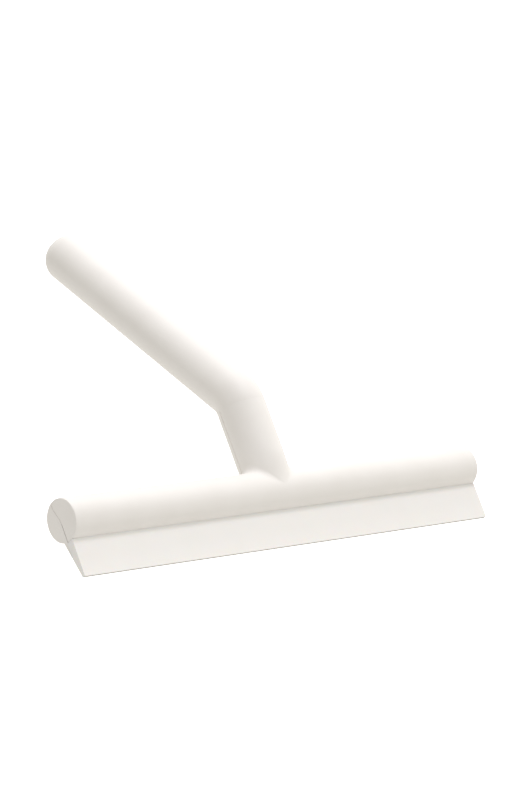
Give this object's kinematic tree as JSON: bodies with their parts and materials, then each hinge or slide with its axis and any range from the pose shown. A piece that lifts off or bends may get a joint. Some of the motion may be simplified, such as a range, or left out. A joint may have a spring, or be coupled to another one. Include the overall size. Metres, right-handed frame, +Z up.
{
  "type": "squeegee",
  "caption": "Window and shower squeegee with a round head bar, a tapered silicone blade and a bent round handle",
  "frame": {"origin": "the middle of the footprint, on the surface that the squeegee lies on: the bottom centre of its box", "axes": "X runs along the head and the wiping blade, +Y from the head towards the end of the handle, and +Z up, away from the surface that the blade's edge and the handle's end rest on"},
  "size_m": [0.25, 0.2078, 0.0431],
  "materials": {
    "shell_plastic": "satin moulded ABS, warm white",
    "blade_silicone": "soft satin silicone, warm white",
    "grip_silicone": "soft satin silicone, warm white",
    "steel": "stainless, as drawn or turned",
    "cast_elbow": "as cast",
    "insert_brass": "turned",
    "inner_plastic": "natural moulded nylon",
    "seal_rubber": "black nitrile ring"
  },
  "bodies": {
    "root": {"front_shell": "shell_plastic", "back_shell": "shell_plastic", "blade": "blade_silicone", "blade_strip": "steel", "shell_screws": "steel", "screw_inserts": "insert_brass", "screw_plugs": "shell_plastic", "elbow_core": "cast_elbow", "neck_bolts": "steel", "neck_nuts": "steel", "neck_seal": "seal_rubber", "handle_tube": "steel", "tube_pin": "steel", "grip_cap": "inner_plastic", "elbow_sleeve": "grip_silicone", "grip": "grip_silicone"}
  },
  "joints": []
}
